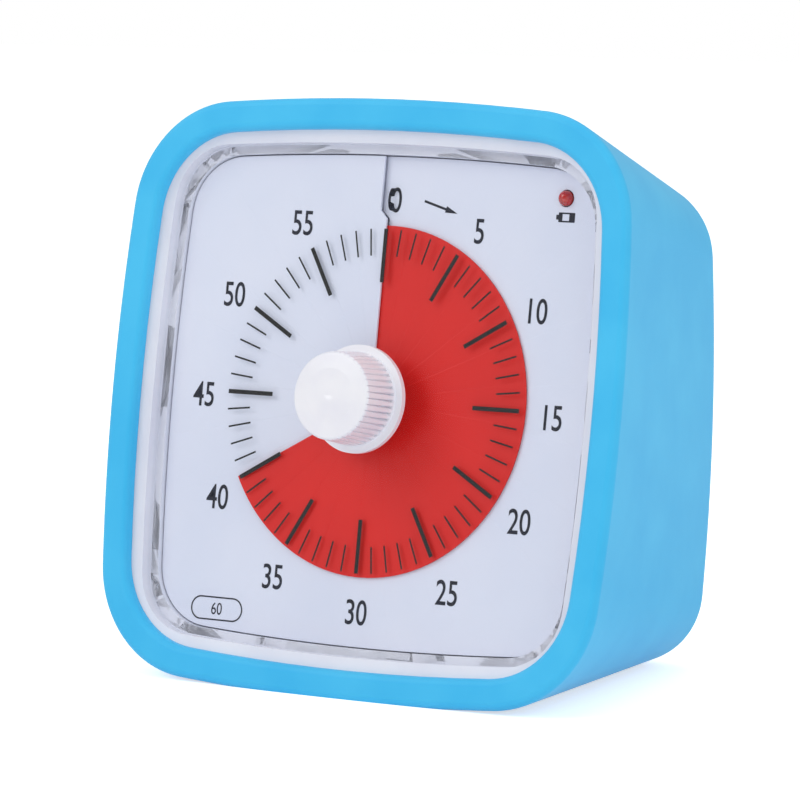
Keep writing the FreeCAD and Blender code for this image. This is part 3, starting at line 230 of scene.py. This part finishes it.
def redLampBody():  # tinted epoxy of the lamp, wet-looking and deep red
    material, tree = newMaterial("redEpoxyLamp")
    place = addNode(tree, "ShaderNodeTexCoord").outputs["Object"]
    cloud = addNode(tree, "ShaderNodeTexNoise", {"Scale": lampLook["cloudScale"], "Detail": 2},
                    {"Vector": place})
    colour = colourRamp(tree, cloud.outputs["Fac"], [(0.3, lampLook["low"]), (0.7, lampLook["high"])])
    shader = addNode(tree, "ShaderNodeBsdfPrincipled",
                     {"Roughness": lampLook["roughness"], "IOR": lampLook["ior"],
                      "Coat Weight": lampLook["coat"]},
                     {"Base Color": colour})
    addNode(tree, "ShaderNodeOutputMaterial", links={"Surface": shader.outputs["BSDF"]})
    return material


boardLook = {"mask": "#0E4A26", "maskOver": "#11522B", "track": "#2C7A45", "scale": 260.0, "trackShare": 0.03,
             "roughness": 0.28, "ior": 1.5, "bump": 0.2, "bumpDepth": 0.00004}


def solderMask():  # green lacquer over copper tracks: a grid of slightly raised, lighter lines
    material, tree = newMaterial("solderMask")
    place = addNode(tree, "ShaderNodeTexCoord").outputs["Object"]
    tracks = addNode(tree, "ShaderNodeTexBrick",
                     {"Scale": boardLook["scale"], "Mortar Size": boardLook["trackShare"],
                      "Color1": linearColour(boardLook["mask"]),
                      "Color2": linearColour(boardLook["maskOver"]),
                      "Mortar": linearColour(boardLook["track"])}, {"Vector": place})
    bump = addNode(tree, "ShaderNodeBump",
                   {"Strength": boardLook["bump"], "Distance": boardLook["bumpDepth"]},
                   {"Height": tracks.outputs["Fac"]})
    shader = addNode(tree, "ShaderNodeBsdfPrincipled",
                     {"Roughness": boardLook["roughness"], "IOR": boardLook["ior"]},
                     {"Base Color": tracks.outputs["Color"], "Normal": bump.outputs["Normal"]})
    addNode(tree, "ShaderNodeOutputMaterial", links={"Surface": shader.outputs["BSDF"]})
    return material


# the turns are drawn 0.3 mm apart, coarser than real ones, so that they show; the dark colour is painted
# shade in the grooves between turns
windingLookWithGrooveShade = {"dark": "#6E2C12", "light": "#C4693A", "turnMm": 0.3, "bump": 0.6, "bumpDepth": 0.0001,
               "metallic": 0.8, "roughness": 0.3}


def enamelledCopper():  # fine turns side by side along x
    material, tree = newMaterial("enamelledCopper")
    place = addNode(tree, "ShaderNodeTexCoord").outputs["Object"]
    turns = addNode(tree, "ShaderNodeTexWave", {"wave_type": "BANDS", "bands_direction": "X",
                                                "Scale": 0.05 / (windingLookWithGrooveShade["turnMm"] * mmToM)},
                    {"Vector": place})
    # painted shade: the colour ramp runs from the dark colour in the grooves between turns to the plain
    # copper colour on their crowns
    colour = colourRamp(tree, turns.outputs["Fac"], [(0.1, windingLookWithGrooveShade["dark"]), (0.7, windingLookWithGrooveShade["light"])])
    bump = addNode(tree, "ShaderNodeBump",
                   {"Strength": windingLookWithGrooveShade["bump"], "Distance": windingLookWithGrooveShade["bumpDepth"]},
                   {"Height": turns.outputs["Fac"]})
    shader = addNode(tree, "ShaderNodeBsdfPrincipled",
                     {"Metallic": windingLookWithGrooveShade["metallic"], "Roughness": windingLookWithGrooveShade["roughness"]},
                     {"Base Color": colour, "Normal": bump.outputs["Normal"]})
    addNode(tree, "ShaderNodeOutputMaterial", links={"Surface": shader.outputs["BSDF"]})
    return material


jacketLook = {"halfLength": 0.026, "rippleScale": 700.0, "bump": 0.08, "bumpDepth": 0.0001, "roughness": 0.25,
              "ior": 1.5}
jacketBands = [(0.0, "#24303F"), (0.70, "#26323F"), (0.705, "#D7DADD"), (0.72, "#C9CCD0"), (0.725, "#8C9097"),
               (0.97, "#9FA3A8")]   # from the plain end to the nub


def cellJacket():  # plain shrink film on the cell, silver at the positive end, with a band between them
    material, tree = newMaterial("shrinkFilmJacket")
    place = addNode(tree, "ShaderNodeTexCoord").outputs["Object"]
    along = addNode(tree, "ShaderNodeSeparateXYZ", links={"Vector": place}).outputs["X"]
    half = jacketLook["halfLength"]
    reach = addNode(tree, "ShaderNodeMapRange", {"From Min": -half, "From Max": half}, {"Value": along})
    colour = colourRamp(tree, reach.outputs["Result"], jacketBands)
    ripple = addNode(tree, "ShaderNodeTexNoise", {"Scale": jacketLook["rippleScale"], "Detail": 2},
                     {"Vector": place})
    bump = addNode(tree, "ShaderNodeBump",
                   {"Strength": jacketLook["bump"], "Distance": jacketLook["bumpDepth"]},
                   {"Height": ripple.outputs["Fac"]})
    shader = addNode(tree, "ShaderNodeBsdfPrincipled",
                     {"Roughness": jacketLook["roughness"], "IOR": jacketLook["ior"]},
                     {"Base Color": colour, "Normal": bump.outputs["Normal"]})
    addNode(tree, "ShaderNodeOutputMaterial", links={"Surface": shader.outputs["BSDF"]})
    return material


materials = {name: mouldedFinish(name) for name in finishes}
materials.update({name: metalFinish(name) for name in metals})
materials.update({"clearAcrylic": clearWindow(), "redEpoxyLamp": redLampBody(), "solderMask": solderMask(),
                  "enamelledCopper": enamelledCopper(), "shrinkFilmJacket": cellJacket()})

finishOfNode = {
    "silicone_cover": "mouldedSilicone",
    "front_housing": "satinAbs", "back_cover": "satinAbs", "battery_door": "satinAbs",
    "dial_seat": "satinAbs", "knob": "glossAbs", "lens": "clearAcrylic", "dial_card": "polystyreneCard",
    "red_disc": "redPolypropylene",
    "spindle": "zincPlate", "clutch_spring": "zincPlate", "contact_leaf": "nickelPlate",
    "zero_cam": "acetal", "centre_wheel": "acetal", "third_wheel": "acetal", "fourth_wheel": "acetal",
    "fifth_wheel": "acetal", "rotor": "sinteredFerrite", "stator": "softIron", "coil_core": "softIron",
    "movement_base": "blackAbs", "movement_cap": "blackAbs", "coil_bobbin": "blackAbs",
    "coil_winding": "enamelledCopper", "contact_post": "blackAbs", "battery": "shrinkFilmJacket",
    "battery_spring": "nickelPlate", "spring_plate": "nickelPlate", "battery_plate": "nickelPlate",
    "circuit_board": "solderMask", "timer_chip": "epoxyCompound", "quartz_crystal": "zincPlate",
    "sounder": "blackAbs", "switch_body": "zincPlate", "switch_slider": "blackAbs",
    "battery_lamp": "redEpoxyLamp", "case_screws": "zincPlate", "board_screws": "zincPlate",
    "movement_screws": "zincPlate",
}
for nodeName, node in nodes.items():
    node.data.materials.clear()
    node.data.materials.append(materials[finishOfNode[nodeName]])
print("materials:", len(materials))


# New pieces

def addPiece(name, points, faces, finish, body):  # points in millimetres in the face frame
    mesh = bpy.data.meshes.new(name)
    mesh.from_pydata((np.asarray(points) * mmToM).tolist(), [], np.asarray(faces).tolist())
    return finishPiece(name, mesh, finish, body)


def finishPiece(name, mesh, finish, body):
    mesh.transform(faceMatrix)
    mesh.materials.clear()
    mesh.materials.append(materials[finish])
    mesh.update()
    piece = bpy.data.objects.new(name, mesh)
    bpy.context.scene.collection.objects.link(piece)
    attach(piece, body)
    return piece


boxFaces = np.array([[0, 3, 2, 1], [4, 5, 6, 7], [0, 1, 5, 4], [1, 2, 6, 5], [2, 3, 7, 6], [3, 0, 4, 7]])


def makeTicks():
    # each tick is a thin bar from an inner to the outer ring: its corners are the ring radius along the
    # minute's direction, plus half its width across it, at the two faces of the ink film
    minutes = np.arange(60)
    major = minutes % 5 == 0
    turn = minutes * math.radians(6)
    along = np.stack([np.sin(turn), np.cos(turn)], 1)
    across = np.stack([np.cos(turn), -np.sin(turn)], 1)
    inner = np.where(major, dial["majorInner"], dial["minorInner"])[:, None]
    outer = np.full((60, 1), dial["tickOuter"])
    half = np.where(major, dial["majorWidth"], dial["minorWidth"])[:, None] / 2
    corners = np.stack([along * inner - across * half, along * outer - across * half,
                        along * outer + across * half, along * inner + across * half], 1)
    front = -dial["lensBack"] - dial["inkGap"]
    low = np.concatenate([corners, np.full((60, 4, 1), front - dial["inkThickness"])], 2)
    high = np.concatenate([corners, np.full((60, 4, 1), front)], 2)
    points = np.concatenate([low, high], 1).reshape(-1, 3)
    order = boxFaces[:, ::-1]
    faces = (order[None] + 8 * minutes[:, None, None]).reshape(-1, 4)
    return addPiece("minute_ticks", points, faces, "tickInk", "root")


def layOnCard(mesh):  # raises every point of a flat mesh to the card's face
    count = len(mesh.vertices)
    flat = np.empty(count * 3)
    mesh.vertices.foreach_get("co", flat)
    flat = flat.reshape(-1, 3) / mmToM
    flat[:, 2] += cardLevel(flat[:, 0], flat[:, 1]) + dial["inkGap"]
    mesh.vertices.foreach_set("co", (flat * mmToM).ravel())


def printWords(name, words, height, squeeze, centre, weight=0.0):
    curve = bpy.data.curves.new(name, "FONT")
    curve.body = words
    curve.size = height * mmToM / dial["figureShare"]
    curve.offset = weight * mmToM
    curve.extrude = dial["inkThickness"] * mmToM / 2
    text = bpy.data.objects.new(name, curve)
    bpy.context.scene.collection.objects.link(text)
    mesh = bpy.data.meshes.new_from_object(text.evaluated_get(bpy.context.evaluated_depsgraph_get()))
    bpy.data.objects.remove(text)
    corners = np.empty(len(mesh.vertices) * 3)
    mesh.vertices.foreach_get("co", corners)
    corners = corners.reshape(-1, 3)
    middle = (corners.min(0) + corners.max(0)) / 2
    corners = (corners - middle) * np.array([squeeze, 1, 1])
    corners += np.array([centre[0], centre[1], dial["inkThickness"] / 2]) * mmToM
    mesh.vertices.foreach_set("co", corners.ravel())
    layOnCard(mesh)
    return mesh


def makeNumbers():
    for minute in range(0, 60, 5):
        turn = math.radians(minute * 6)
        ring = dial["numberRing"]
        centre = [ring * math.sin(turn), ring * math.cos(turn) + dial["numberLean"]]
        if minute == 0:
            centre[0] += dial["zeroShift"]
        mesh = printWords("number", str(minute), dial["numberHeight"], dial["numberSqueeze"], centre,
                          dial["numberWeight"])
        finishPiece("number_%02d" % minute, mesh, "printedInk", "root")


arrow = {"ring": 30.9, "raise": 0.1, "first": 10.2, "last": 21.6, "shaft": 0.36, "head": 1.0, "tip": 0.02,
         "neck": 0.66, "step": 0.001}   # the head starts at the neck, a share of the length


def ribbonPiece(name, inside, outside, closed):
    # a flat strip between two lines of points on the card, with a front, a back and two sides
    count = len(inside)
    flat = np.concatenate([inside, outside])
    thick = dial["inkThickness"]
    level = cardLevel(flat[:, 0], flat[:, 1]) + dial["inkGap"]
    points = np.concatenate([np.c_[flat, level], np.c_[flat, level + thick]])
    step = np.arange(count if closed else count - 1)
    after = (step + 1) % count
    low, high = step, step + 2 * count
    top = np.stack([high, after + 2 * count, after + 3 * count, high + count], 1)
    under = np.stack([low, low + count, after + count, after], 1)
    near = np.stack([low, after, after + 2 * count, high], 1)
    far = np.stack([low + count, high + count, after + 3 * count, after + count], 1)
    faces = np.concatenate([top, under, near, far])
    if not closed:
        end = count - 1
        caps = [[0, 2 * count, 3 * count, count], [end, end + count, end + 3 * count, end + 2 * count]]
        faces = np.concatenate([faces, caps])
    mesh = bpy.data.meshes.new(name)
    mesh.from_pydata((points * mmToM).tolist(), [], faces.tolist())
    return mesh


def makeArrow():
    # a shaft along a straight line that swells into a slender head: half width as a function of the way along
    way = np.array([0, arrow["neck"], arrow["neck"] + arrow["step"], 1.0])
    half = np.array([arrow["shaft"], arrow["shaft"], arrow["head"], arrow["tip"]]) / 2
    turns = [math.radians(angle) for angle in (arrow["first"], arrow["last"])]
    ends = [np.array([arrow["ring"] * math.sin(turn), arrow["ring"] * math.cos(turn) + arrow["raise"]])
            for turn in turns]
    along = (ends[1] - ends[0]) / np.linalg.norm(ends[1] - ends[0])
    across = np.array([-along[1], along[0]])
    middle = ends[0] + way[:, None] * (ends[1] - ends[0])
    reach = across * half[:, None]
    mesh = ribbonPiece("setting_arrow", middle + reach, middle - reach, False)
    finishPiece("setting_arrow", mesh, "printedInk", "root")


badge = {"centre": (-25.3, -33.3), "length": 9.5, "height": 3.65, "line": 0.22, "numberHeight": 1.9,
         "numberSqueeze": 0.8}
cellSign = {"centre": (30.45, 28.97), "length": 2.8, "height": 1.45, "line": 0.22, "corner": 0.12,
            "openShare": 0.42, "openShift": 0.16, "openCorner": 0.05, "nub": 0.4, "nubHeight": 0.7,
            "pin": 0.02}   # the nub is filled, so its inner outline is only a pin's width
capsulePoints = 64


def capsule(centre, length, height, corner):  # points round a rounded bar, counterclockwise
    turn = np.linspace(0, 2 * math.pi, capsulePoints, endpoint=False) + math.pi / capsulePoints
    sign = np.stack([np.sign(np.cos(turn)), np.sign(np.sin(turn))], 1)
    straight = np.array([length / 2 - corner, height / 2 - corner])
    return np.array(centre) + sign * straight + corner * np.stack([np.cos(turn), np.sin(turn)], 1)


def makeBadge():  # the rounded outline of the dial's range, with the bare number in it
    length, height, line = badge["length"], badge["height"], badge["line"]
    outer = capsule(badge["centre"], length, height, height / 2)
    inner = capsule(badge["centre"], length - 2 * line, height - 2 * line, height / 2 - line)
    mesh = ribbonPiece("range_outline", inner, outer, True)
    finishPiece("range_outline", mesh, "printedInk", "root")
    mesh = printWords("range_number", "60", badge["numberHeight"], badge["numberSqueeze"], badge["centre"])
    finishPiece("range_number", mesh, "printedInk", "root")


def makeCellSign():  # a small cell: nub on the left, open middle, filled right end
    x, y = cellSign["centre"]
    length, height = cellSign["length"], cellSign["height"]
    outer = capsule((x, y), length, height, cellSign["corner"])
    inner = capsule((x - cellSign["openShift"], y), length * cellSign["openShare"],
                    height - 2 * cellSign["line"], cellSign["openCorner"])
    mesh = ribbonPiece("cell_sign", inner, outer, True)
    finishPiece("cell_sign", mesh, "printedInk", "root")
    tip = (x - length / 2 - cellSign["nub"] / 2, y)
    nub = capsule(tip, cellSign["nub"], cellSign["nubHeight"], cellSign["openCorner"])
    pin = capsule(tip, cellSign["pin"], cellSign["pin"], cellSign["pin"] / 2)
    mesh = ribbonPiece("cell_sign_nub", pin, nub, True)
    finishPiece("cell_sign_nub", mesh, "printedInk", "root")


makeTicks()
makeNumbers()
makeArrow()
makeBadge()
makeCellSign()
print("printed marks made")


# Stage, light and camera

stageLook = {"floor": 4.0, "floorColour": "#F4F5F8", "floorRoughness": 0.9, "floorShine": 0.1, "world": 0.58,
             "glow": 0.6}


def makeFloor():
    half = stageLook["floor"] / 2
    mesh = bpy.data.meshes.new("floor")
    corners = [(-half, -half, 0), (half, -half, 0), (half, half, 0), (-half, half, 0)]
    mesh.from_pydata(corners, [], [(0, 1, 2, 3)])
    floor = bpy.data.objects.new("floor", mesh)
    bpy.context.scene.collection.objects.link(floor)
    material, tree = newMaterial("paleBackdropPaper")
    rays = addNode(tree, "ShaderNodeLightPath")
    seen = addNode(tree, "ShaderNodeMath", {"operation": "MAXIMUM"},
                   {0: rays.outputs["Is Camera Ray"], 1: rays.outputs["Is Glossy Ray"]})
    seenOrThrough = addNode(tree, "ShaderNodeMath", {"operation": "MAXIMUM"},
                            {0: seen.outputs[0], 1: rays.outputs["Is Transmission Ray"]})
    glow = addNode(tree, "ShaderNodeMath", {"operation": "MULTIPLY", 1: stageLook["glow"]},
                   {0: seenOrThrough.outputs[0]})
    shader = addNode(tree, "ShaderNodeBsdfPrincipled",
                     {"Base Color": linearColour(stageLook["floorColour"]),
                      "Roughness": stageLook["floorRoughness"], "Specular IOR Level": stageLook["floorShine"],
                      "Emission Color": (1, 1, 1, 1)},
                     {"Emission Strength": glow.outputs[0]})
    addNode(tree, "ShaderNodeOutputMaterial", links={"Surface": shader.outputs["BSDF"]})
    mesh.materials.append(material)


def makeWorld():
    world = bpy.data.worlds.new("paleStudio")
    world.use_nodes = True
    tree = world.node_tree
    tree.nodes.clear()
    rays = addNode(tree, "ShaderNodeLightPath")
    lit = addNode(tree, "ShaderNodeBackground", {"Color": (1, 1, 1, 1), "Strength": stageLook["world"]})
    seen = addNode(tree, "ShaderNodeBackground", {"Color": (1, 1, 1, 1), "Strength": 1.0})
    mix = addNode(tree, "ShaderNodeMixShader", None,
                  {0: rays.outputs["Is Camera Ray"], 1: lit.outputs[0], 2: seen.outputs[0]})
    addNode(tree, "ShaderNodeOutputWorld", links={"Surface": mix.outputs[0]})
    bpy.context.scene.world = world


lamps = {   # place in metres, watts, size in metres
    "frontLeftKey": {"place": (-0.55, -0.75, 0.75), "power": 3.2, "size": 0.6},
    "rightFill": {"place": (0.8, -0.3, 0.35), "power": 1.6, "size": 0.7},
    "topSoft": {"place": (0.0, 0.1, 1.0), "power": 1.6, "size": 0.8},
}


lampAim = (0, 0, 0.04)


def makeLamps():
    target = Vector(lampAim)
    for name, lamp in lamps.items():
        light = bpy.data.lights.new(name, "AREA")
        light.energy = lamp["power"]
        light.size = lamp["size"]
        holder = bpy.data.objects.new(name, light)
        holder.location = lamp["place"]
        holder.rotation_euler = (target - holder.location).to_track_quat("-Z", "Y").to_euler()
        bpy.context.scene.collection.objects.link(holder)


photoCamera = {   # angles about the face frame, and where the middle of the face lands in the 800 px frame
    "right": 33.15, "up": -1.64, "roll": -5.07, "distance": 715.3, "focalPx": 4791.0,
    "facePx": (355.27, 398.82), "framePx": 800, "filmMm": 36,
}


def makeCamera():
    shot = photoCamera
    turn, tilt = math.radians(shot["right"]), math.radians(shot["up"])
    right = Vector((math.cos(turn), 0, -math.sin(turn)))
    back = Vector((math.sin(turn) * math.cos(tilt), math.sin(tilt), math.cos(turn) * math.cos(tilt)))
    up = back.cross(right)
    roll = math.radians(shot["roll"])
    rolledRight = right * math.cos(roll) - up * math.sin(roll)
    rolledUp = right * math.sin(roll) + up * math.cos(roll)
    axes = Matrix((rolledRight, rolledUp, back)).transposed()
    half = shot["framePx"] / 2
    faceX, faceY = shot["facePx"]
    aside = Vector(((faceX - half) / shot["focalPx"], (half - faceY) / shot["focalPx"], -1))
    aim = Vector((0, 0, -1)).rotation_difference(aside.normalized()).inverted().to_matrix()
    turned = (faceMatrix.to_3x3() @ axes @ aim).to_4x4()
    turned.translation = faceMatrix @ (back * shot["distance"] * mmToM)
    data = bpy.data.cameras.new("photoView")
    data.sensor_width = shot["filmMm"]
    data.lens = shot["focalPx"] * shot["filmMm"] / shot["framePx"]
    camera = bpy.data.objects.new("photoView", data)
    camera.matrix_world = turned
    bpy.context.scene.collection.objects.link(camera)
    bpy.context.scene.camera = camera


makeFloor()
makeWorld()
makeLamps()
makeCamera()
bpy.context.scene.view_settings.view_transform = "Standard"
print("stage, lamps and camera set")
